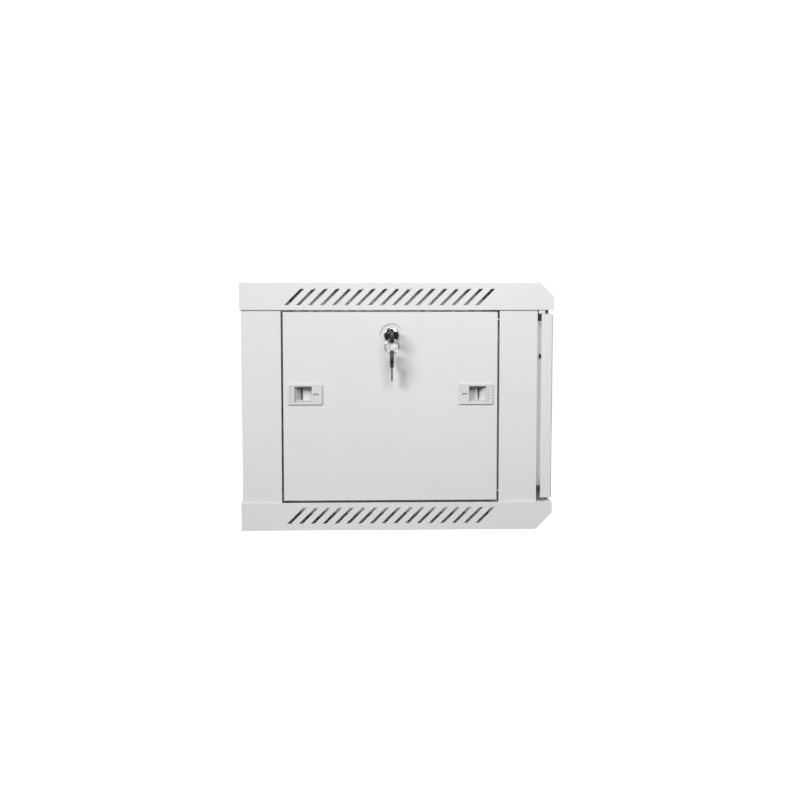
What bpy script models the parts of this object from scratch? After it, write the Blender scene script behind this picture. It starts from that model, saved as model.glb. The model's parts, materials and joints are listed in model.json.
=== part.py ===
"""A ten-inch, four-unit wall rack cabinet with a glass door and removable side panels.

+X is the right-hand side seen from the door, -Y the door, +Z up. The origin is the centre of the
underside. Lengths are in millimetres and to_object() turns them into metres. Paired pieces are drawn
on the right-hand side and mirrored. In the side panels Y is measured from the panel's middle.
"""
import math

import bmesh
import bpy
from mathutils import Matrix, Vector

MM = 0.001

# Driving dimensions
HALF_WIDTH = 140.0
FRONT = -155.0
REAR = 155.0
HEIGHT = 246.0
SHEET = 1.2
GAP = 0.3
SEAM = 2.0
TOP_SKIRT = 26.6
BOTTOM_SKIRT = 27.8
TOP_CHAMFER = 13.5
BOTTOM_CHAMFER = 16.5
UNIT = 44.45
UNITS = 4

# Heights and planes that follow from them
SKIRT_LOW = BOTTOM_SKIRT
SKIRT_HIGH = HEIGHT - TOP_SKIRT
MIDDLE_Z = (SKIRT_LOW + SKIRT_HIGH) / 2
WALL = HALF_WIDTH - SHEET - GAP
FLOOR_Z = SHEET + GAP
CEILING_Z = HEIGHT - SHEET - GAP
NOSE_BACK = -140.0

# Side panels, pillars and rails
PANEL_MID = 6.5
PANEL_HALF = 106.1
PANEL_LOW = SKIRT_LOW + SEAM
PANEL_HIGH = SKIRT_HIGH - SEAM
PANEL_BACK = 127.0
PILLAR_FRONT = -139.2
PILLAR_REAR = REAR - SHEET - GAP
PILLAR_RETURN = 128.5
LIP_FACE = 126.7
LIP_REACH = 100.4
RAIL_CREST = 88.0
RAIL_EDGE = 111.0
RAIL_HOLE_X = 118.25
RAIL_HOLE = 9.5
RAIL_SCREW_X = 131.0
COVER_BOLT_X = 132.0
COVER_BOLT_Y = (-120.0, 134.0)

# Ventilation slots
SLOT_COUNT = 17
SLOT_PITCH = 11.75
SLOT_WIDTH = 3.9
SLOT_HEIGHT = 16.0
LOW_SLOTS = (5.8, 14.8)
HIGH_SLOTS = (7.1, 232.1)

# Door
DOOR_HALF = 138.8
DOOR_FRONT = -154.6
DOOR_BACK = -143.2
DOOR_LOW = SKIRT_LOW + 4.0
DOOR_HIGH = SKIRT_HIGH - 4.0
DOOR_BORDER_X = 34.0
DOOR_BORDER_Z = 22.0
HINGE_X = -132.5
HINGE_Y = -149.0
PIN_RADIUS = 2.0
PIN_HOLE = 2.3
DOOR_LOCK_X = 121.0

# Side panel locks, keys and latches
LOCK_Y = 5.5
LOCK_Z = 194.3
BODY_RADIUS = 6.0
BARREL_RADIUS = 4.5
KEY_THICK = 1.8
KEY_DEPTH = 14.0
KEY_LENGTH = 22.8
HEAD_X = 151.4
HEAD_RADIUS = 7.2
HEAD_THICK = 3.6
HEAD_HOLE = 4.9
RING_RADIUS = 6.9
RING_WIRE = 0.6
LATCH_Z = 136.0
LATCH_START = 67.7
LATCH_END = 101.4
LATCH_HALF = 10.0
LATCH_TRAVEL = 3.2


# Shapes: each returns a bmesh in millimetres

def block(x, y, z):
    """A box between pairs of limits."""
    shape = bmesh.new()
    bmesh.ops.create_cube(shape, size=1.0)
    spans = (x, y, z)
    bmesh.ops.scale(shape, vec=Vector([high - low for low, high in spans]), verts=shape.verts)
    bmesh.ops.translate(shape, vec=Vector([(high + low) / 2 for low, high in spans]), verts=shape.verts)
    return shape


def prism(outline, axis, span):
    """A flat outline, given in the other two axes in their order, drawn out along one axis."""
    shape = bmesh.new()
    corners = []
    for u, v in outline:
        place = {"X": (span[0], u, v), "Y": (u, span[0], v), "Z": (u, v, span[0])}[axis]
        corners.append(shape.verts.new(place))
    face = shape.faces.new(corners)
    drawn = bmesh.ops.extrude_face_region(shape, geom=[face])
    moved = [item for item in drawn["geom"] if isinstance(item, bmesh.types.BMVert)]
    step = Vector([span[1] - span[0] if name == axis else 0.0 for name in "XYZ"])
    bmesh.ops.translate(shape, vec=step, verts=moved)
    return shape


def turned(profile, axis, centre, segments=24):
    """A turned piece: (radius, position) points spun about a line along an axis.

    A profile that starts and ends at radius 0 is solid; any other profile is closed into a bush.
    """
    shape = bmesh.new()
    u, v = centre
    corners = []
    for radius, along in profile:
        place = {"X": (along, u + radius, v), "Y": (u + radius, along, v), "Z": (u + radius, v, along)}
        corners.append(shape.verts.new(place[axis]))
    solid = profile[0][0] == 0.0
    following = corners[1:] if solid else corners[1:] + corners[:1]
    edges = [shape.edges.new(pair) for pair in zip(corners, following)]
    middle = {"X": (0.0, u, v), "Y": (u, 0.0, v), "Z": (u, v, 0.0)}[axis]
    line = Vector([float(name == axis) for name in "XYZ"])
    bmesh.ops.spin(shape, geom=shape.verts[:] + edges, cent=Vector(middle), axis=line,
                   angle=math.tau, steps=segments, use_merge=True, use_duplicate=False)
    bmesh.ops.remove_doubles(shape, verts=shape.verts, dist=1e-4)
    return shape


def rod(radius, axis, centre, span, segments=24):
    """A plain round bar."""
    low, high = span
    return turned([(0.0, low), (radius, low), (radius, high), (0.0, high)], axis, centre, segments)


def hexagon(across, hole, axis, centre, span):
    """A hexagonal nut blank, its hole left to a cutter."""
    u, v = centre
    radius = across / math.sqrt(3)
    outline = [(u + radius * math.cos(math.radians(60 * i)), v + radius * math.sin(math.radians(60 * i)))
               for i in range(6)]
    return prism(outline, axis, span), rod(hole, axis, centre, (span[0] - 1, span[1] + 1))


def rounded(u, v, radius, steps=4):
    """The outline of a rectangle with rounded corners."""
    points = []
    corners = ((u[1], v[1], 0), (u[0], v[1], 90), (u[0], v[0], 180), (u[1], v[0], 270))
    for cu, cv, start in corners:
        pu = cu - radius if cu == u[1] else cu + radius
        pv = cv - radius if cv == v[1] else cv + radius
        for i in range(steps + 1):
            angle = math.radians(start + 90 * i / steps)
            points.append((pu + radius * math.cos(angle), pv + radius * math.sin(angle)))
    return points


def folded(line):
    """The outline of sheet metal bent along a line, with its thickness to the line's left."""
    points = [Vector(point) for point in line]
    runs = [(end - start).normalized() for start, end in zip(points, points[1:])]
    normals = [Vector((-run.y, run.x)) for run in runs]
    inner = []
    for index, point in enumerate(points):
        before = normals[max(index - 1, 0)]
        after = normals[min(index, len(normals) - 1)]
        inner.append(point + (before + after) * SHEET / (1 + before.dot(after)))
    return [tuple(point) for point in points + inner[::-1]]


def join(shapes):
    """Several separate shapes as one mesh."""
    whole = bmesh.new()
    for shape in shapes:
        piece = bpy.data.meshes.new("piece")
        shape.to_mesh(piece)
        shape.free()
        whole.from_mesh(piece)
        bpy.data.meshes.remove(piece)
    return whole


def mirrored(shape, side=1, end=1, middle=0.0):
    """The shape moved to one side and one end, with Y measured from a middle."""
    matrix = Matrix.Translation((0.0, middle, 0.0)) @ Matrix.Diagonal((side, end, 1.0, 1.0))
    bmesh.ops.transform(shape, matrix=matrix, verts=shape.verts)
    return shape


# Scene helpers

def clear_scene():
    for item in list(bpy.data.objects):
        bpy.data.objects.remove(item, do_unlink=True)
    for item in list(bpy.data.collections):
        bpy.data.collections.remove(item)


def new_collection(name):
    collection = bpy.data.collections.new(name)
    bpy.context.scene.collection.children.link(collection)
    return collection


def material(name, colour, roughness, metallic=0.0, alpha=1.0):
    made = bpy.data.materials.new(name)
    made.use_nodes = True
    shader = made.node_tree.nodes["Principled BSDF"]
    shader.inputs["Base Color"].default_value = (*colour, 1.0)
    shader.inputs["Roughness"].default_value = roughness
    shader.inputs["Metallic"].default_value = metallic
    shader.inputs["Alpha"].default_value = alpha
    made.diffuse_color = (*colour, 1.0)
    return made


def to_object(name, shape, collection, origin=(0.0, 0.0, 0.0)):
    """An object in metres whose own origin stands at the given point."""
    bmesh.ops.recalc_face_normals(shape, faces=shape.faces)
    bmesh.ops.translate(shape, vec=-Vector(origin), verts=shape.verts)
    bmesh.ops.scale(shape, vec=Vector((MM, MM, MM)), verts=shape.verts)
    mesh = bpy.data.meshes.new(name)
    shape.to_mesh(mesh)
    shape.free()
    made = bpy.data.objects.new(name, mesh)
    made.location = Vector(origin) * MM
    collection.objects.link(made)
    return made


def combine(made, shape, operation):
    tool = to_object(f"{made.name}_{operation.lower()}_{len(made.modifiers)}", shape, CUTTERS)
    tool.hide_render = True
    tool.display_type = "WIRE"
    modifier = made.modifiers.new(operation.title(), "BOOLEAN")
    modifier.operation = operation
    modifier.solver = "EXACT"
    modifier.object = tool


def part(name, shape, finish, add=(), cut=(), origin=(0.0, 0.0, 0.0), smooth=False):
    """One named piece: a shape, the shapes fused to it, then the shapes taken out of it."""
    made = to_object(name, shape, PARTS, origin)
    made.data.materials.append(finish)
    for extra in add:
        combine(made, extra, "UNION")
    for extra in cut:
        combine(made, extra, "DIFFERENCE")
    if smooth:
        made.data.shade_smooth()
        made.data.set_sharp_from_angle(angle=math.radians(30))
    return made


# Body

def cover_outline(inset, skirt, chamfer, mouth):
    """The side view of a top cover, its sheet's outside or inside, as (y, height above skirt)."""
    slope = chamfer - inset * (2 - math.sqrt(2))
    front = FRONT + inset
    top = skirt - inset
    return [(front, mouth), (front, top - slope), (front + slope, top), (REAR - inset, top),
            (REAR - inset, mouth)]


def slot_cutters(middle_y, middle):
    """One row of slanting slots, through both side skirts."""
    half = SLOT_HEIGHT / 2
    shapes = []
    for index in range(SLOT_COUNT):
        y = middle_y + SLOT_PITCH * (index - (SLOT_COUNT - 1) / 2)
        outline = [(y + half - SLOT_WIDTH / 2, middle - half), (y + half + SLOT_WIDTH / 2, middle - half),
                   (y - half + SLOT_WIDTH / 2, middle + half), (y - half - SLOT_WIDTH / 2, middle + half)]
        shapes.append(prism(outline, "X", (-HALF_WIDTH - 1, HALF_WIDTH + 1)))
    return join(shapes)


def cover(name, upper, skirt, chamfer, slots):
    """A cover with skirts all round and a flange by its nose for the hinge pin, the upper with a spacer."""
    outer = cover_outline(0.0, skirt, chamfer, 0.0)
    inner = cover_outline(SHEET, skirt, chamfer, SHEET)
    hollow = inner[:-1] + [(REAR - SHEET, -1.0), (NOSE_BACK, -1.0), (NOSE_BACK, SHEET)]
    if upper:
        outline = [(y, SKIRT_HIGH + z) for y, z in outer]
        cavity = [(y, SKIRT_HIGH + z) for y, z in hollow]
        face, inside = HEIGHT, HEIGHT - SHEET
        flange = (SKIRT_HIGH - 1, SKIRT_HIGH + SHEET + 1)
    else:
        outline = [(y, SKIRT_LOW - z) for y, z in outer]
        cavity = [(y, SKIRT_LOW - z) for y, z in hollow]
        face, inside = 0.0, SHEET
        flange = (SKIRT_LOW - SHEET - 1, SKIRT_LOW + 1)
    sheet = HALF_WIDTH - SHEET
    cable = prism(rounded((-70, 70), (88, 132), 6), "Z", (min(face, inside) - 1, max(face, inside) + 1))
    holes = [rod(PIN_HOLE, "Z", (HINGE_X, HINGE_Y), flange, 16)]
    away = 1 if upper else -1
    for side in (-1, 1):
        for y in COVER_BOLT_Y:
            holes.append(turned(countersink(face, away), "Z", (side * COVER_BOLT_X, y), 16))
    made = part(name, prism(outline, "X", (-HALF_WIDTH, HALF_WIDTH)), PAINT,
                cut=[prism(cavity, "X", (-sheet, sheet)), slot_cutters(*slots), cable, join(holes)])
    if upper:
        combine(made, block((-HALF_WIDTH + 1.0, -127.0), (-146.6, -140.4), (DOOR_HIGH + GAP, SKIRT_HIGH + 0.4)),
                "UNION")


def countersink(face, away):
    """The cutter's profile for a countersunk hole through sheet, away being out of the face."""
    return [(0.0, face + away), (4.9, face + away), (4.1, face), (2.4, face - away * (SHEET + 1)),
            (0.0, face - away * (SHEET + 1))]


def screw_profile(face, away, length):
    """A countersunk screw whose head lies just under a face."""
    return [(0.0, face - away * 0.1), (3.7, face - away * 0.1), (2.0, face - away * 1.5),
            (2.0, face - away * length), (0.0, face - away * length)]


def cover_bolts():
    """Countersunk screws through the covers into the pillars' end tabs."""
    for side, side_name in ((-1, "left"), (1, "right")):
        for y, end_name in zip(COVER_BOLT_Y, ("front", "rear")):
            for face, away, level in ((HEIGHT, 1, "top"), (0.0, -1, "bottom")):
                part(f"cover_screw_{level}_{end_name}_{side_name}",
                     turned(screw_profile(face, away, 7.0), "Z", (side * COVER_BOLT_X, y), 16),
                     STEEL, smooth=True)


def pillar(name, side, line, span, bolt_y, rail_screws):
    """A corner pillar: a folded channel with a lip behind the side panel and a tab at each end."""
    low, high = span
    tabs = []
    holes = []
    for z in ((FLOOR_Z, FLOOR_Z + SHEET), (CEILING_Z - SHEET, CEILING_Z)):
        tabs.append(mirrored(block((LIP_FACE - 0.6, WALL - 0.2), (low + 0.2, high - 0.2), z), side))
        holes.append(mirrored(rod(2.3, "Z", (COVER_BOLT_X, bolt_y), (z[0] - 1, z[1] + 1), 16), side))
    for z in rail_screws:
        holes.append(mirrored(rod(2.3, "Y", (RAIL_SCREW_X, z), (high - 3, high + 1), 16), side))
    if rail_screws:
        nose_relief = block((LIP_FACE - 2, WALL + 1), (low - 1, low + 1.8), (0.0, FLOOR_Z + 2.0))
        holes.append(mirrored(nose_relief, side))
    part(name, mirrored(prism(folded(line), "Z", (FLOOR_Z, CEILING_Z)), side), PAINT,
         add=[join(tabs)], cut=[join(holes)])


def pillars():
    rear_edge = PANEL_MID + PANEL_HALF + SEAM
    front_edge = PANEL_MID - PANEL_HALF - SEAM
    front = [(PILLAR_RETURN, PILLAR_FRONT), (WALL, PILLAR_FRONT), (WALL, front_edge),
             (LIP_FACE, front_edge), (LIP_FACE, PANEL_MID - LIP_REACH)]
    rear = [(LIP_FACE, PANEL_MID + LIP_REACH), (LIP_FACE, rear_edge), (WALL, rear_edge),
            (WALL, PILLAR_REAR), (PILLAR_RETURN, PILLAR_REAR)]
    for side, side_name in ((-1, "left"), (1, "right")):
        pillar(f"pillar_front_{side_name}", side, front, (PILLAR_FRONT, front_edge), COVER_BOLT_Y[0],
               rail_screw_heights())
        pillar(f"pillar_rear_{side_name}", side, rear, (rear_edge, PILLAR_REAR), COVER_BOLT_Y[1], ())
    return front_edge


def rail_screw_heights():
    return (PANEL_LOW + 8.0, PANEL_HIGH - 8.0)


def rack_rails(pillar_edge):
    """Rails with three square holes to each unit, standing on the front pillars."""
    back = pillar_edge - SHEET - GAP
    line = [(WALL - SHEET - GAP, back), (RAIL_EDGE + SHEET, back), (RAIL_EDGE + SHEET, back + 11.0)]
    base = MIDDLE_Z - UNIT * UNITS / 2
    half = RAIL_HOLE / 2
    for side, side_name in ((-1, "left"), (1, "right")):
        holes = []
        for unit in range(UNITS):
            for offset in (6.35, UNIT / 2, UNIT - 6.35):
                z = base + unit * UNIT + offset
                holes.append(block((RAIL_HOLE_X - half, RAIL_HOLE_X + half), (back - 3, back + 1),
                                   (z - half, z + half)))
        for z in rail_screw_heights():
            holes.append(turned(countersink(back - SHEET, -1), "Y", (RAIL_SCREW_X, z), 16))
            level = "lower" if z < MIDDLE_Z else "upper"
            screw = turned(screw_profile(back - SHEET, -1, 4.1), "Y", (RAIL_SCREW_X, z), 16)
            part(f"rail_screw_{level}_{side_name}", mirrored(screw, side), STEEL, smooth=True)
        part(f"rack_rail_{side_name}", mirrored(prism(folded(line), "Z", (PANEL_LOW + 0.7, PANEL_HIGH - 0.7)),
                                                side), ZINC, cut=[mirrored(join(holes), side)])


def tie_rails():
    """Flat rails that join the pillars' lips behind the vents, widened in the middle."""
    reach = LIP_REACH - GAP
    for side, side_name in ((-1, "left"), (1, "right")):
        for level, inner, edge, crest in (("upper", 205.0, 222.0, 239.5), ("lower", 42.2, 25.2, 15.2)):
            shoulder = RAIL_CREST + 8.0
            outline = [(-reach, inner), (reach, inner), (reach, edge), (shoulder, edge), (RAIL_CREST, crest),
                       (-RAIL_CREST, crest), (-shoulder, edge), (-reach, edge)]
            strip = prism(outline, "X", (LIP_FACE - SHEET, LIP_FACE))
            part(f"tie_rail_{level}_{side_name}", mirrored(strip, side, 1, PANEL_MID), PAINT)


def rear_panel():
    """The back sheet, inside the rear pillars, with keyholes for the wall and a cable opening."""
    back = PILLAR_REAR - SHEET - GAP
    half = WALL - SHEET - GAP - 0.1
    span = (back - 3, back + 1)
    cuts = []
    for x in (-90.0, 90.0):
        for z in (62.0, 196.0):
            cuts.append(rod(5.0, "Y", (x, z), span, 20))
            cuts.append(prism(rounded((x - 2.6, x + 2.6), (z + 2.0, z + 13.0), 2.5), "Y",
                              (span[0] - 0.5, span[1] + 0.5)))
    entry = prism(rounded((-45, 45), (70, 96), 5), "Y", span)
    part("rear_panel", block((-half, half), (back - SHEET, back), (FLOOR_Z + 1.5, CEILING_Z - 1.5)), PAINT,
         cut=[join(cuts[0::2]), join(cuts[1::2]), entry])


def cable_plates():
    """Blanking plates under and over the covers' cable openings."""
    for name, z in (("cable_plate_top", (CEILING_Z - SHEET, CEILING_Z)),
                    ("cable_plate_bottom", (FLOOR_Z, FLOOR_Z + SHEET))):
        knockouts = join([rod(9.0, "Z", (x, 110), (z[0] - 1, z[1] + 1), 24) for x in (-40, 40)])
        part(name, prism(rounded((-80, 80), (78, 142), 4), "Z", z), PAINT, cut=[knockouts])


# Locks

def lock_set(prefix, axis, centre, outward, seat, back, nut_at, cam_outline, origin):
    """A cam lock: housing, nut, barrel with a keyway, and cam.

    Positions run along the axis: outward is +1 or -1, seat is where the head rests, back is where
    the housing ends and the cam lies beyond it.
    """
    def at(distance, base):
        return base + outward * distance

    head = seat["head"]
    housing = [(BARREL_RADIUS + GAP, at(head, seat["at"])), (seat["radius"] * 0.62, at(head, seat["at"])),
               (seat["radius"] * 0.88, at(head * 0.72, seat["at"])),
               (seat["radius"], at(head * 0.25, seat["at"])),
               (seat["radius"], seat["at"]), (BODY_RADIUS, seat["at"]), (BODY_RADIUS, back),
               (BARREL_RADIUS + GAP, back)]
    part(f"{prefix}_housing", turned(housing, axis, centre, 32), CHROME, smooth=True)
    blank, hole = hexagon(15.0, BODY_RADIUS + GAP, axis, centre, (min(nut_at), max(nut_at)))
    part(f"{prefix}_nut", blank, STEEL, cut=[hole])
    face = at(head - 0.2, seat["at"])
    barrel = [(0.0, face), (BARREL_RADIUS, face), (BARREL_RADIUS, at(-0.3, back)), (2.5, at(-0.3, back)),
              (2.5, at(-2.6, back)), (3.8, at(-2.6, back)), (3.8, at(-3.8, back)), (0.0, at(-3.8, back))]
    u, v = centre
    depth = sorted((at(1.0, face), at(-KEY_DEPTH, face)))
    if axis == "X":
        keyway = block(depth, (u - 1.2, u + 1.2), (v - 3.1, v + 3.1))
    else:
        keyway = block((u - 1.2, u + 1.2), depth, (v - 3.1, v + 3.1))
    part(f"{prefix}_barrel", turned(barrel, axis, centre, 24), CHROME, cut=[keyway], origin=origin,
         smooth=True)
    span = sorted((at(-0.6, back), at(-2.3, back)))
    part(f"{prefix}_cam", prism(cam_outline, axis, span), STEEL,
         cut=[rod(2.8, axis, centre, (span[0] - 1, span[1] + 1), 20)], origin=origin)


def cam_outline(centre, toward, length, half=4.2):
    """A cam's outline: rounded about its axis and square at the tip, pointing one way."""
    u, v = centre
    points = []
    for i in range(9):
        angle = math.radians(90 + 180 * i / 8)
        points.append((half * 1.25 * math.cos(angle), half * 1.25 * math.sin(angle)))
    points += [(half, -half), (length - 1.5, -half), (length, -half + 1.5), (length, half - 1.5),
               (length - 1.5, half), (half, half)]
    cos, sin = toward
    return [(u + cos * a - sin * b, v + sin * a + cos * b) for a, b in points]


def side_lock(side, side_name):
    centre = (LOCK_Y, LOCK_Z)
    nut_face = WALL - SHEET - 1.6 - GAP
    seat = {"at": side * (WALL - 1.2), "head": 2.7, "radius": 8.25}
    lock_set(f"side_lock_{side_name}", "X", centre, side, seat, side * 125.2,
             (side * nut_face, side * (nut_face - 3.0)), cam_outline(centre, (1, 0), 17.0),
             (side * 125.0, LOCK_Y, LOCK_Z))


def door_lock():
    centre = (DOOR_LOCK_X, MIDDLE_Z)
    seat = {"at": DOOR_FRONT + 2.4, "head": 2.2, "radius": 9.5}
    lock_set("door_lock", "Y", centre, -1, seat, -138.3, (-150.3, -147.3),
             cam_outline(centre, (0, 1), 13.0, 3.8), (DOOR_LOCK_X, -138.0, MIDDLE_Z))


# Door

def door():
    inner = DOOR_HALF - SHEET
    window_x = DOOR_HALF - DOOR_BORDER_X
    window_z = (DOOR_LOW + DOOR_BORDER_Z, DOOR_HIGH - DOOR_BORDER_Z)
    sheet_back = DOOR_FRONT + SHEET
    shell = block((-DOOR_HALF, DOOR_HALF), (DOOR_FRONT, DOOR_BACK), (DOOR_LOW, DOOR_HIGH))
    rim = [edge for edge in shell.edges if all(abs(v.co.y - DOOR_FRONT) < 0.01 for v in edge.verts)]
    bmesh.ops.bevel(shell, geom=rim, offset=1.6, segments=3, affect="EDGES", profile=0.5)
    hollow = block((-inner, inner), (sheet_back, DOOR_BACK + 1), (DOOR_LOW + SHEET, DOOR_HIGH - SHEET))
    lip = [(-DOOR_HALF + 0.4, 44.9), (-126.8, 56.5), (-126.8, 195.0), (-DOOR_HALF + 0.4, 206.6)]
    guides = [block((-DOOR_HALF + 0.4, -128.0), (sheet_back - 0.4, -145.0), z)
              for z in ((201.0, 202.2), (45.0, 46.2))]
    strip = block((-134.1, -132.9), (DOOR_BACK - 0.4, PILLAR_FRONT - 0.5), (43.5, 208.0))
    boss = rod(11.0, "Y", (DOOR_LOCK_X, MIDDLE_Z), (sheet_back - 0.4, DOOR_FRONT + 4.0), 32)
    pans = [rod(PIN_HOLE, "Z", (HINGE_X, HINGE_Y), (DOOR_LOW - 1, DOOR_HIGH + 1), 16),
            turned([(0.0, DOOR_FRONT - 1), (9.8, DOOR_FRONT - 1), (9.8, DOOR_FRONT + 2.7),
                    (BODY_RADIUS + GAP, DOOR_FRONT + 2.7), (BODY_RADIUS + GAP, DOOR_FRONT + 5),
                    (0.0, DOOR_FRONT + 5)], "Y", (DOOR_LOCK_X, MIDDLE_Z), 32)]
    window = prism(rounded((-window_x, window_x), window_z, 4.0), "Y", (DOOR_FRONT - 1, sheet_back + 1))
    origin = (HINGE_X, HINGE_Y, MIDDLE_Z)
    frame = part("door_frame", shell, PAINT, origin=origin)
    combine(frame, hollow, "DIFFERENCE")
    combine(frame, join([prism(lip, "Y", (DOOR_BACK - SHEET, DOOR_BACK)), boss] + guides), "UNION")
    combine(frame, strip, "UNION")
    combine(frame, join([window] + pans), "DIFFERENCE")

    glass_x = window_x + 4.7
    glass_z = (window_z[0] - 4.5, window_z[1] + 4.5)
    gasket_y = (sheet_back + GAP, sheet_back + GAP + 1.0)
    opening = prism(rounded((-window_x - 0.6, window_x + 0.6), (window_z[0] - 0.6, window_z[1] + 0.6), 4.0),
                    "Y", (gasket_y[0] - 1, gasket_y[1] + 1))
    part("door_gasket", block((-glass_x, glass_x), gasket_y, glass_z), RUBBER, cut=[opening], origin=origin)
    glass_y = (gasket_y[1] + GAP, gasket_y[1] + GAP + 3.0)
    part("door_glass", prism(rounded((-glass_x, glass_x), glass_z, 1.5), "Y", glass_y), GLASS, origin=origin)

    top = SKIRT_HIGH + 4.0
    arm = block((HINGE_X - PIN_RADIUS + 0.6, -117.0), (HINGE_Y - 1.6, HINGE_Y + 1.6), (190.0, 193.0))
    pin = [(0.0, 190.0), (PIN_RADIUS, 190.0), (PIN_RADIUS, top - 1.0), (1.2, top), (0.0, top)]
    part("hinge_pin_upper", turned(pin, "Z", (HINGE_X, HINGE_Y), 16), BRASS, add=[arm],
         origin=(HINGE_X, HINGE_Y, 190.0), smooth=True)
    low = SKIRT_LOW - 4.0
    pin = [(0.0, low), (1.2, low), (PIN_RADIUS, low + 1.0), (PIN_RADIUS, 50.0), (0.0, 50.0)]
    part("hinge_pin_lower", turned(pin, "Z", (HINGE_X, HINGE_Y), 16), BRASS, origin=origin, smooth=True)
    bumper = [(0.0, DOOR_BACK + GAP), (1.9, DOOR_BACK + GAP), (1.9, -141.8), (1.5, -141.2), (0.0, -141.2)]
    part("door_bumper", turned(bumper, "Y", (-136.4, 173.8), 16), RUBBER, origin=origin, smooth=True)


# Side panels

def side_panel(side, side_name):
    """A pan with a dished seat for the lock and a window for each latch."""
    inner = WALL - SHEET
    hollow = block((PANEL_BACK - 1, inner), (-PANEL_HALF + SHEET, PANEL_HALF - SHEET),
                   (PANEL_LOW + SHEET, PANEL_HIGH - SHEET))
    lock_y = LOCK_Y - PANEL_MID
    boss = rod(13.5, "X", (lock_y, LOCK_Z), (inner - 1.6, inner + 0.4), 32)
    dish = [(0.0, WALL + 1), (12.8, WALL + 1), (12.0, WALL), (10.6, WALL - 0.9), (8.6, WALL - 1.5),
            (BODY_RADIUS + GAP, WALL - 1.5), (BODY_RADIUS + GAP, inner - 3), (0.0, inner - 3)]
    windows = [block((inner - 2, WALL + 1), sorted((end * (LATCH_START + 1.5), end * (LATCH_END - 1.5))),
                     (LATCH_Z - LATCH_HALF + 1.5, LATCH_Z + LATCH_HALF - 1.5)) for end in (-1, 1)]
    pan = block((PANEL_BACK, WALL), (-PANEL_HALF, PANEL_HALF), (PANEL_LOW, PANEL_HIGH))
    made = part(f"side_panel_{side_name}", mirrored(pan, side, 1, PANEL_MID), PAINT)
    combine(made, mirrored(hollow, side, 1, PANEL_MID), "DIFFERENCE")
    combine(made, mirrored(boss, side, 1, PANEL_MID), "UNION")
    cutters = join([turned(dish, "X", (lock_y, LOCK_Z), 32)] + windows)
    combine(made, mirrored(cutters, side, 1, PANEL_MID), "DIFFERENCE")


def latch(side, side_name, end, end_name):
    """A slide latch: a housing clipped into the panel and a slide with a finger recess.

    The slide rests drawn back and its tongue moves outward, behind the pillar's lip.
    """
    low, high = LATCH_Z - LATCH_HALF, LATCH_Z + LATCH_HALF
    face = HALF_WIDTH - 0.1
    flange_back = WALL + GAP
    window = (LATCH_START + 10.2, LATCH_END - 6.4)
    window_z = (LATCH_Z - 7.4, LATCH_Z + 8.0)
    cavity_end = window[1] + LATCH_TRAVEL + GAP

    def placed(shape):
        return mirrored(shape, side, end, PANEL_MID)

    flange = prism(rounded((LATCH_START, LATCH_END), (low, high), 0.8, 2), "X", (flange_back, face))
    body = block((120.2, flange_back + 0.4), (LATCH_START + 1.9, LATCH_END - 1.8), (low + 1.9, high - 1.9))
    cavity = block((121.7, flange_back - 0.2), (LATCH_START + 3.1, cavity_end), (low + 2.9, high - 2.1))
    opening = block((flange_back - 1, face + 1), window, window_z)
    mouth = block((121.7, 125.0), (cavity_end - 1.0, LATCH_END), (LATCH_Z - 5.0, LATCH_Z + 5.0))
    grooves = [block((face - 0.7, face + 1), (LATCH_END - 5.0, LATCH_END - 1.9), (z, z + 1.3))
               for z in [low + 1.7 + 3.0 * i for i in range(6)]]
    dash = block((flange_back - 0.3, face + 1), (LATCH_START + 3.8, LATCH_START + 8.7),
                 (LATCH_Z - 0.9, LATCH_Z + 0.9))
    part(f"latch_housing_{end_name}_{side_name}", placed(flange), PLASTIC, add=[placed(body)],
         cut=[placed(cavity), placed(join([opening, mouth, dash] + grooves))])

    start, finish = LATCH_START + 4.4, window[1]
    groove = start + 15.0
    slide = block((122.0, flange_back - 0.5), (start, finish), (low + 3.2, high - 2.4))
    tongue = block((122.0, 124.6), (finish - 0.5, LATCH_END - 2.0), (LATCH_Z - 4.7, LATCH_Z + 4.7))
    recess = [(139.0, finish - 0.7), (137.2, finish - 0.7), (129.5, groove + 1.9), (125.0, groove + 1.9),
              (125.0, groove), (131.6, groove), (131.6, window[0] - 1.4), (139.0, window[0] - 1.4)]
    scoop = prism(recess, "Z", (low + 3.9, high - 3.1))
    part(f"latch_slide_{end_name}_{side_name}", placed(slide), PLASTIC, add=[placed(tongue)],
         cut=[placed(scoop)],
         origin=(side * 123.3, PANEL_MID + end * (LATCH_START + LATCH_END) / 2, LATCH_Z))


# Keys

def key(name, matrix, origin):
    """A flat blade along +X in a moulded head, drawn in X-Z with the head's middle at (0, 0)."""
    half = KEY_THICK / 2
    blade = prism([(6.5, -2.8), (20.8, -2.8), (KEY_LENGTH, -0.8), (KEY_LENGTH, 0.8), (20.8, 2.8), (6.5, 2.8)],
                  "Y", (-half, half))
    disc = rod(HEAD_RADIUS, "Y", (0.0, 0.0), (-HEAD_THICK / 2, HEAD_THICK / 2), 32)
    neck = block((4.0, 9.0), (-HEAD_THICK / 2, HEAD_THICK / 2), (-5.2, 5.2))
    hole = rod(HEAD_HOLE, "Y", (0.0, 0.0), (-HEAD_THICK, HEAD_THICK), 24)
    pocket = block((6.2, 10.0), (-half - GAP, half + GAP), (-2.8 - GAP, 2.8 + GAP))
    for shape in (blade, disc, neck, hole, pocket):
        bmesh.ops.transform(shape, matrix=matrix, verts=shape.verts)
    part(f"{name}_blade", blade, STEEL, origin=origin)
    part(f"{name}_head", disc, DARK_PLASTIC, add=[neck], cut=[hole, pocket], origin=origin, smooth=True)


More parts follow.
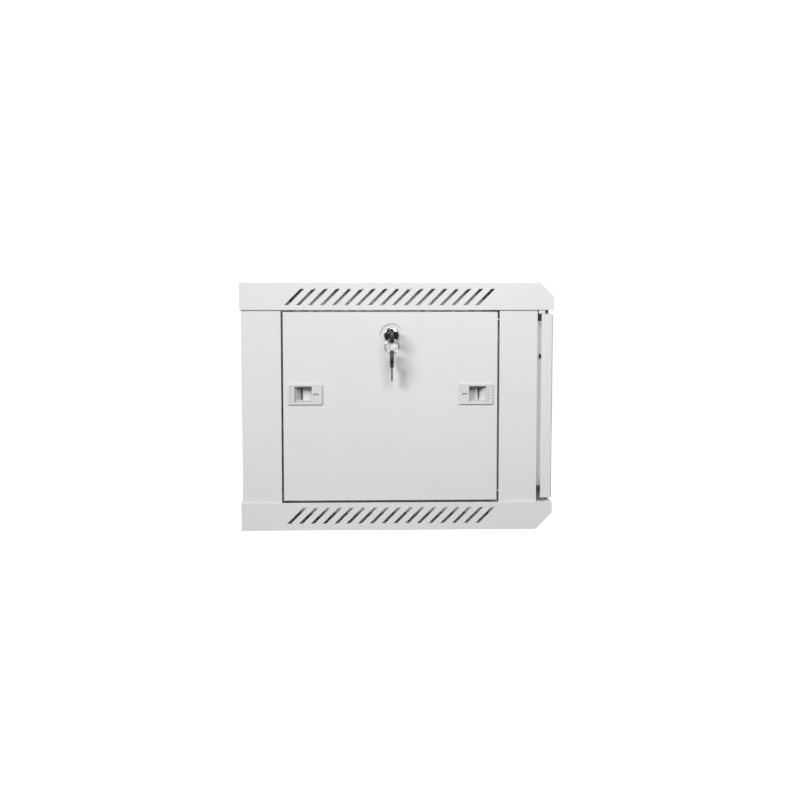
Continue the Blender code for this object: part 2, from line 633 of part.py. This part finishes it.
def keys():
    """The key in the left lock, the ring hanging in its head and the spare key on the ring."""
    wire_rest = HEAD_HOLE - RING_WIRE - 0.43
    hang = (-HEAD_X, LOCK_Y, LOCK_Z - wire_rest)
    key("key", Matrix.Translation((-HEAD_X, LOCK_Y, LOCK_Z)), (-HEAD_X, LOCK_Y, LOCK_Z))
    ring_z = hang[2] - RING_RADIUS
    profile = [(RING_RADIUS + RING_WIRE * math.cos(math.radians(45 * i)),
                -HEAD_X + RING_WIRE * math.sin(math.radians(45 * i))) for i in range(8)]
    part("key_ring", turned(profile, "X", (LOCK_Y, ring_z), 28), CHROME, origin=hang, smooth=True)
    low = ring_z - RING_RADIUS
    spin = Matrix.Rotation(math.radians(90), 4, "Y")
    centre = (-HEAD_X, LOCK_Y, low - wire_rest)
    key("spare_key", Matrix.Translation(centre) @ spin, (-HEAD_X, LOCK_Y, low))


clear_scene()
PARTS = new_collection("wall_rack_cabinet")
CUTTERS = new_collection("cutters")
PAINT = material("light_grey_paint", (0.72, 0.72, 0.71), 0.45)
STEEL = material("plated_steel", (0.62, 0.62, 0.63), 0.35, 1.0)
ZINC = material("zinc_rail", (0.66, 0.67, 0.68), 0.4, 1.0)
CHROME = material("chrome", (0.75, 0.75, 0.76), 0.12, 1.0)
BRASS = material("nickel_brass", (0.66, 0.60, 0.50), 0.3, 1.0)
PLASTIC = material("light_grey_plastic", (0.66, 0.66, 0.65), 0.5)
DARK_PLASTIC = material("dark_grey_plastic", (0.07, 0.07, 0.075), 0.4)
RUBBER = material("black_rubber", (0.02, 0.02, 0.02), 0.8)
GLASS = material("tempered_glass", (0.75, 0.8, 0.8), 0.05, 0.0, 0.35)

cover("top_cover", True, TOP_SKIRT, TOP_CHAMFER, HIGH_SLOTS)
cover("bottom_cover", False, BOTTOM_SKIRT, BOTTOM_CHAMFER, LOW_SLOTS)
cover_bolts()
rack_rails(pillars())
tie_rails()
rear_panel()
cable_plates()
door()
door_lock()
for panel_side, panel_name in ((-1, "left"), (1, "right")):
    side_panel(panel_side, panel_name)
    side_lock(panel_side, panel_name)
    latch(panel_side, panel_name, -1, "front")
    latch(panel_side, panel_name, 1, "rear")
keys()
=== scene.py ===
"""The looks of a small wall rack cabinet: refined sheet-metal pieces, materials, light and camera."""
import json
import math

import bmesh
import bpy
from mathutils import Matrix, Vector

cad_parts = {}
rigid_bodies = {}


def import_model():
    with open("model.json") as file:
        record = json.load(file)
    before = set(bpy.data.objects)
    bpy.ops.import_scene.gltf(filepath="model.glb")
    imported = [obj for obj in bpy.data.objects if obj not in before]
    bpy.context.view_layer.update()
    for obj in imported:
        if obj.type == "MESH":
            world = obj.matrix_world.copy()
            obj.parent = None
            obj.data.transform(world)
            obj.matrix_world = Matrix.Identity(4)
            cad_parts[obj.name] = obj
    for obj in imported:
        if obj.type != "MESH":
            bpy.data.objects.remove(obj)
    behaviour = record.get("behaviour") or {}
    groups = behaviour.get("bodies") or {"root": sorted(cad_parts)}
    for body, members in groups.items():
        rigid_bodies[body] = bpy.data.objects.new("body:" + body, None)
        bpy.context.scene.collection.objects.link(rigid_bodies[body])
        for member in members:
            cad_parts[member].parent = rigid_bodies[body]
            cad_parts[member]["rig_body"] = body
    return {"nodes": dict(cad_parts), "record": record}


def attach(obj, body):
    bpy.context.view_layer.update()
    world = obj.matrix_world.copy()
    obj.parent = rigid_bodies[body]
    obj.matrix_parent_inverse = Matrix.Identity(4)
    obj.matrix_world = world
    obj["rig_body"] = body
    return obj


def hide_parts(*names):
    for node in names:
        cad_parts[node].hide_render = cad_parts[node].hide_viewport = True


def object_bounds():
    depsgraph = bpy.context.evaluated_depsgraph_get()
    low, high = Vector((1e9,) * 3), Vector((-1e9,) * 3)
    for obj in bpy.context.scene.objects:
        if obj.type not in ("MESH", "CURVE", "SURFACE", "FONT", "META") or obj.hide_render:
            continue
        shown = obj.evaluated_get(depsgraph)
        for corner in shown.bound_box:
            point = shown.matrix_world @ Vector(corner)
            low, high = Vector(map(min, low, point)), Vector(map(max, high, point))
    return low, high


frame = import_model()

CAD_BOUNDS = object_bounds()

# How far each kind of edge is rounded over, in metres
PAINTED_EDGE = 0.0004
MOULDED_EDGE = 0.0003
METAL_EDGE = 0.0002
GLASS_EDGE = 0.0004

# Corners sharper than this are rounded; points nearer than this are one; faces flatter than this join
SHARP_ANGLE = math.radians(32)
WELD_DISTANCE = 2e-6
FLAT_ANGLE = math.radians(0.6)
FLAT_FACE_WEIGHT = 80

# Finishes
PAINT_GREY = (0.67, 0.67, 0.667)
PLASTIC_GREY = (0.62, 0.62, 0.615)
PLASTIC_BLACK = (0.035, 0.035, 0.038)
STEEL_GREY = (0.60, 0.60, 0.61)
CHROME_GREY = (0.80, 0.80, 0.81)
BRASS_TINT = (0.70, 0.66, 0.58)
ZINC_DARK = (0.56, 0.57, 0.58)
ZINC_LIGHT = (0.66, 0.67, 0.68)
RUBBER_DARK = (0.012, 0.012, 0.013)
RUBBER_LIGHT = (0.03, 0.03, 0.03)
GLASS_SMEARED = (0.90, 0.95, 0.935)
GLASS_CLEAR = (0.94, 0.97, 0.96)
FLOOR_DARK = (0.94, 0.94, 0.94)
FLOOR_LIGHT = (0.96, 0.96, 0.96)
PAINT_IOR = 1.5
PLASTIC_IOR = 1.47
GLASS_IOR = 1.5

# Camera, from the photograph's perspective: nearly square on the left side, a little above
AZIMUTH = math.radians(268.0)
ELEVATION = math.radians(5.0)
DISTANCE = 1.25
TARGET = Vector((-0.14, -0.0028, 0.1304))
LENS = 56.8
SENSOR = 36.0

# Soft square lights: name, place, aim, size in metres, power in watts
LIGHTS = (
    ("key_light", (-2.78, 2.40, 2.00), (-0.14, 0.0, 0.19), 1.4, 135.0),
    ("near_light", (-0.75, -0.13, 0.58), (-0.14, 0.0, 0.18), 0.4, 3.5),
    ("fill_light", (2.10, -1.60, 0.90), (0.0, 0.0, 0.10), 1.6, 50.0),
)

# The dome's strength overhead and at the horizon, the share of it left towards -X, and the backdrop's
ZENITH = 0.45
HORIZON = 0.20
DARK_ROOM = 0.10
BACKDROP = 1.05

# The table's radius, its drop below the cabinet, its own glow and its roughness
FLOOR_RADIUS = 0.95
FLOOR_DROP = 0.0002
FLOOR_GLOW = 0.55
FLOOR_ROUGHNESS = 0.9


# Materials

class Nodes:
    """A material's node tree, with short ways to add and join nodes."""

    def __init__(self, name):
        self.material = bpy.data.materials.new(name)
        self.material.use_nodes = True
        self.tree = self.material.node_tree
        self.shader = self.tree.nodes["Principled BSDF"]
        self.place = self.add("ShaderNodeTexCoord").outputs["Object"]

    def add(self, kind, **settings):
        node = self.tree.nodes.new(kind)
        for name, value in settings.items():
            setattr(node, name, value)
        return node

    def link(self, start, end):
        self.tree.links.new(start, end)

    def noise(self, scale, detail=3.0, stretch=None):
        """Noise with about scale features to the metre; a stretch below 1 draws it out along that axis."""
        node = self.add("ShaderNodeTexNoise")
        node.inputs["Scale"].default_value = scale
        node.inputs["Detail"].default_value = detail
        place = self.place
        if stretch:
            squeeze = self.add("ShaderNodeVectorMath", operation="MULTIPLY")
            squeeze.inputs[1].default_value = stretch
            self.link(place, squeeze.inputs[0])
            place = squeeze.outputs[0]
        self.link(place, node.inputs["Vector"])
        return node.outputs["Fac"]

    def ramp(self, value, low, high, start=0.3, end=0.7):
        """A value carried from its range start..end to low..high."""
        node = self.add("ShaderNodeMapRange")
        node.inputs["From Min"].default_value = start
        node.inputs["From Max"].default_value = end
        node.inputs["To Min"].default_value = low
        node.inputs["To Max"].default_value = high
        self.link(value, node.inputs["Value"])
        return node.outputs["Result"]

    def blend(self, factor, first, second):
        """A mix of two colours, each a tuple or a socket."""
        node = self.add("ShaderNodeMix", data_type="RGBA")
        self.link(factor, node.inputs["Factor"])
        for value, socket in ((first, node.inputs["A"]), (second, node.inputs["B"])):
            if isinstance(value, tuple):
                socket.default_value = (*value, 1.0)
            else:
                self.link(value, socket)
        return node.outputs["Result"]

    def edges(self, reach):
        """1 where the surface turns within the reach, 0 on flat ground, broken up by a little noise; on
        paint it carries a painted highlight, on metal rubbed wear.
        """
        round_over = self.add("ShaderNodeBevel", samples=4)
        round_over.inputs["Radius"].default_value = reach
        turn = self.add("ShaderNodeVectorMath", operation="DOT_PRODUCT")
        self.link(round_over.outputs["Normal"], turn.inputs[0])
        self.link(self.add("ShaderNodeNewGeometry").outputs["Normal"], turn.inputs[1])
        wear_and_highlight = self.ramp(turn.outputs["Value"], 1.0, 0.0, 0.80, 0.995)
        patchy = self.add("ShaderNodeMath", operation="MULTIPLY")
        self.link(wear_and_highlight, patchy.inputs[0])
        self.link(self.ramp(self.noise(160.0), 0.45, 1.0), patchy.inputs[1])
        return patchy.outputs[0]

    def bump(self, *layers):
        """Bumps one over the other, each a height socket and its depth in metres."""
        normal = None
        for height, depth in layers:
            node = self.add("ShaderNodeBump")
            node.inputs["Distance"].default_value = depth
            node.inputs["Strength"].default_value = 1.0
            self.link(height, node.inputs["Height"])
            if normal:
                self.link(normal, node.inputs["Normal"])
            normal = node.outputs["Normal"]
        self.link(normal, self.shader.inputs["Normal"])

    def set(self, socket, value):
        self.shader.inputs[socket].default_value = value


def shade(colour, factor):
    """A colour made lighter or darker by a factor."""
    return tuple(min(1.0, factor * part) for part in colour)


def powder_coat(name, colour):
    """Light grey powder coat: fine orange peel, faint cloudiness and a painted highlight along its edges.
    """
    look = Nodes(name)
    cloud = look.noise(9.0, 4.0)
    grain = look.noise(1400.0, 2.0)
    peel = look.noise(420.0, 2.0)
    darker = shade(colour, 0.965)
    lighter = shade(colour, 1.05)
    body = look.blend(look.ramp(cloud, 0.0, 1.0), darker, colour)
    body = look.blend(look.ramp(grain, 0.0, 0.35), body, darker)
    # Painted highlight: the coat's colour is made lighter where the surface turns at its edges
    body = look.blend(look.edges(0.0006), body, lighter)
    look.link(body, look.shader.inputs["Base Color"])
    look.link(look.ramp(peel, 0.46, 0.58), look.shader.inputs["Roughness"])
    look.bump((peel, 0.000012), (grain, 0.000006))
    look.set("IOR", PAINT_IOR)
    return look.material


def moulded_plastic(name, colour):
    """Spark-textured plastic with faint flow lines and lighter edges."""
    look = Nodes(name)
    grain = look.noise(2600.0, 3.0)
    flow = look.noise(60.0, 3.0, (1.0, 0.25, 1.0))
    darker = shade(colour, 0.93)
    lighter = shade(colour, 1.08)
    body = look.blend(look.ramp(flow, 0.0, 1.0), darker, colour)
    body = look.blend(look.edges(0.0005), body, lighter)
    look.link(body, look.shader.inputs["Base Color"])
    look.link(look.ramp(grain, 0.42, 0.58), look.shader.inputs["Roughness"])
    look.bump((grain, 0.000008))
    look.set("IOR", PLASTIC_IOR)
    return look.material


def plated_metal(name, colour, smooth, rough, stretch, depth):
    """Plated metal with fine lines, between smooth and rough, soft stains and brighter rubbed edges."""
    look = Nodes(name)
    lines = look.noise(1500.0, 4.0, stretch)
    stain = look.noise(70.0, 4.0)
    darker = shade(colour, 0.82)
    lighter = shade(colour, 1.15)
    body = look.blend(look.ramp(stain, 0.0, 1.0), darker, colour)
    body = look.blend(look.edges(0.0003), body, lighter)
    look.link(body, look.shader.inputs["Base Color"])
    look.link(look.ramp(lines, smooth, rough), look.shader.inputs["Roughness"])
    look.bump((lines, depth))
    look.set("Metallic", 1.0)
    return look.material


def galvanised(name):
    """Zinc sheet with its crystal spangle."""
    look = Nodes(name)
    spangle = look.add("ShaderNodeTexVoronoi")
    spangle.inputs["Scale"].default_value = 260.0
    look.link(look.place, spangle.inputs["Vector"])
    tone = look.add("ShaderNodeRGBToBW")
    look.link(spangle.outputs["Color"], tone.inputs["Color"])
    crystal = look.ramp(tone.outputs["Val"], 0.0, 1.0, 0.2, 0.8)
    look.link(look.blend(crystal, ZINC_DARK, ZINC_LIGHT), look.shader.inputs["Base Color"])
    look.link(look.ramp(crystal, 0.30, 0.46, 0.0, 1.0), look.shader.inputs["Roughness"])
    look.bump((look.noise(900.0, 3.0), 0.000008))
    look.set("Metallic", 1.0)
    return look.material


def black_rubber(name):
    """Dull black rubber with a fine grain."""
    look = Nodes(name)
    grain = look.noise(1800.0, 4.0)
    body = look.blend(look.ramp(grain, 0.0, 1.0), RUBBER_DARK, RUBBER_LIGHT)
    look.link(body, look.shader.inputs["Base Color"])
    look.link(look.ramp(grain, 0.62, 0.85), look.shader.inputs["Roughness"])
    look.bump((grain, 0.00002))
    return look.material


def tempered_glass(name):
    """Clear glass with a faint green cast and light smears."""
    look = Nodes(name)
    smear = look.noise(14.0, 5.0, (1.0, 1.0, 0.4))
    body = look.blend(look.ramp(smear, 0.0, 1.0), GLASS_SMEARED, GLASS_CLEAR)
    look.link(body, look.shader.inputs["Base Color"])
    look.link(look.ramp(smear, 0.01, 0.05), look.shader.inputs["Roughness"])
    look.bump((look.noise(20.0, 2.0), 0.000004))
    look.set("Transmission Weight", 1.0)
    look.set("IOR", GLASS_IOR)
    return look.material


# Pieces

def finish_of(node):
    """The record's material slot of a CAD node."""
    for entry in frame["record"]["subparts"]:
        if entry["node"] == node:
            return entry["material_slot"]
    raise ValueError(node)


def refined(node, width, segments):
    """A copy of a CAD node with true edges: welded, its flat faces joined, and its corners rounded."""
    source = frame["nodes"][node]
    shape = bmesh.new()
    shape.from_mesh(source.data)
    bmesh.ops.remove_doubles(shape, verts=shape.verts, dist=WELD_DISTANCE)
    bmesh.ops.dissolve_limit(shape, angle_limit=FLAT_ANGLE, verts=shape.verts, edges=shape.edges)
    bmesh.ops.recalc_face_normals(shape, faces=shape.faces)
    mesh = bpy.data.meshes.new(f"{node}_skin")
    shape.to_mesh(mesh)
    shape.free()
    piece = bpy.data.objects.new(f"{node}_skin", mesh)
    bpy.context.scene.collection.objects.link(piece)
    bevel = piece.modifiers.new("Edges", "BEVEL")
    bevel.width = width
    bevel.segments = segments
    bevel.limit_method = "ANGLE"
    bevel.angle_limit = SHARP_ANGLE
    mesh.shade_smooth()
    mesh.set_sharp_from_angle(angle=SHARP_ANGLE)
    flatter = piece.modifiers.new("Flatter", "WEIGHTED_NORMAL")
    flatter.weight = FLAT_FACE_WEIGHT
    flatter.keep_sharp = False
    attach(piece, source["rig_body"])
    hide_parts(node)
    return piece


def dress_cabinet():
    """Every CAD node gets a refined skin in its own finish: a material, an edge radius and its segments."""
    steel = plated_metal("plated_steel", STEEL_GREY, 0.25, 0.42, (1, 1, 1), 0.000004)
    chrome = plated_metal("chrome_plate", CHROME_GREY, 0.06, 0.14, (0.3, 1, 1), 0.0000005)
    brass = plated_metal("nickel_brass", BRASS_TINT, 0.20, 0.36, (1, 1, 0.1), 0.000002)
    looks = {
        "paint": (powder_coat("powder_coat", PAINT_GREY), PAINTED_EDGE, 3),
        "plastic": (moulded_plastic("moulded_plastic", PLASTIC_GREY), MOULDED_EDGE, 2),
        "steel": (steel, METAL_EDGE, 2),
        "chrome": (chrome, METAL_EDGE, 3),
        "brass": (brass, METAL_EDGE, 2),
        "zinc": (galvanised("galvanised_sheet"), METAL_EDGE, 2),
        "dark_plastic": (moulded_plastic("dark_plastic", PLASTIC_BLACK), MOULDED_EDGE, 2),
        "rubber": (black_rubber("black_rubber"), MOULDED_EDGE, 2),
        "glass": (tempered_glass("tempered_glass"), GLASS_EDGE, 2),
    }
    for node in sorted(frame["nodes"]):
        look, width, segments = looks[finish_of(node)]
        refined(node, width, segments).data.materials.append(look)


# Stage, light and camera

def floor():
    """A round, pale table with a soft mottle and a glow that makes it as white as the backdrop."""
    shape = bmesh.new()
    bmesh.ops.create_circle(shape, cap_ends=True, segments=96, radius=FLOOR_RADIUS)
    mesh = bpy.data.meshes.new("floor")
    shape.to_mesh(mesh)
    shape.free()
    plane = bpy.data.objects.new("floor", mesh)
    plane.location.z = CAD_BOUNDS[0][2] - FLOOR_DROP
    bpy.context.scene.collection.objects.link(plane)
    look = Nodes("pale_floor")
    body = look.blend(look.ramp(look.noise(3.0), 0.0, 1.0), FLOOR_DARK, FLOOR_LIGHT)
    look.link(body, look.shader.inputs["Base Color"])
    look.link(body, look.shader.inputs["Emission Color"])
    look.set("Roughness", FLOOR_ROUGHNESS)
    look.set("Emission Strength", FLOOR_GLOW)
    mesh.materials.append(look.material)
    plane.visible_diffuse = False
    plane.visible_glossy = False


def world_light():
    """A ceiling that dims to the horizon, a dark room towards -X, and a plain white backdrop."""
    world = bpy.data.worlds.new("studio")
    world.use_nodes = True
    bpy.context.scene.world = world
    tree = world.node_tree
    tree.nodes.clear()
    join = tree.links.new

    def ranged(value, start, end, low, high):
        """A value carried from start..end to low..high."""
        node = tree.nodes.new("ShaderNodeMapRange")
        node.inputs["From Min"].default_value = start
        node.inputs["From Max"].default_value = end
        node.inputs["To Min"].default_value = low
        node.inputs["To Max"].default_value = high
        join(value, node.inputs["Value"])
        return node.outputs["Result"]

    split = tree.nodes.new("ShaderNodeSeparateXYZ")
    join(tree.nodes.new("ShaderNodeTexCoord").outputs["Generated"], split.inputs[0])
    strength = tree.nodes.new("ShaderNodeMath")
    strength.operation = "MULTIPLY"
    join(ranged(split.outputs["Z"], 0.0, 0.9, HORIZON, ZENITH), strength.inputs[0])
    join(ranged(split.outputs["X"], -0.90, -0.55, DARK_ROOM, 1.0), strength.inputs[1])
    dome = tree.nodes.new("ShaderNodeBackground")
    join(strength.outputs[0], dome.inputs["Strength"])
    backdrop = tree.nodes.new("ShaderNodeBackground")
    backdrop.inputs["Strength"].default_value = BACKDROP
    for background in (dome, backdrop):
        background.inputs["Color"].default_value = (1.0, 1.0, 1.0, 1.0)
    mix = tree.nodes.new("ShaderNodeMixShader")
    join(tree.nodes.new("ShaderNodeLightPath").outputs["Is Camera Ray"], mix.inputs["Fac"])
    join(dome.outputs[0], mix.inputs[1])
    join(backdrop.outputs[0], mix.inputs[2])
    join(mix.outputs[0], tree.nodes.new("ShaderNodeOutputWorld").inputs["Surface"])


def area_light(name, place, aim, size, power):
    """A soft square light at a place, turned to its aim."""
    data = bpy.data.lights.new(name, "AREA")
    data.size = size
    data.energy = power
    lamp = bpy.data.objects.new(name, data)
    lamp.location = place
    lamp.rotation_euler = (Vector(aim) - Vector(place)).to_track_quat("-Z", "Y").to_euler()
    bpy.context.scene.collection.objects.link(lamp)


def camera():
    """The camera at its distance from the target, looking at it."""
    reach = math.cos(ELEVATION)
    direction = Vector((math.sin(AZIMUTH) * reach, -math.cos(AZIMUTH) * reach, math.sin(ELEVATION)))
    data = bpy.data.cameras.new("camera")
    data.lens = LENS
    data.sensor_width = SENSOR
    eye = bpy.data.objects.new("camera", data)
    eye.location = TARGET + direction * DISTANCE
    eye.rotation_euler = (-direction).to_track_quat("-Z", "Y").to_euler()
    bpy.context.scene.collection.objects.link(eye)
    bpy.context.scene.camera = eye


dress_cabinet()
floor()
world_light()
for settings in LIGHTS:
    area_light(*settings)
camera()
bpy.context.scene.view_settings.view_transform = "Standard"
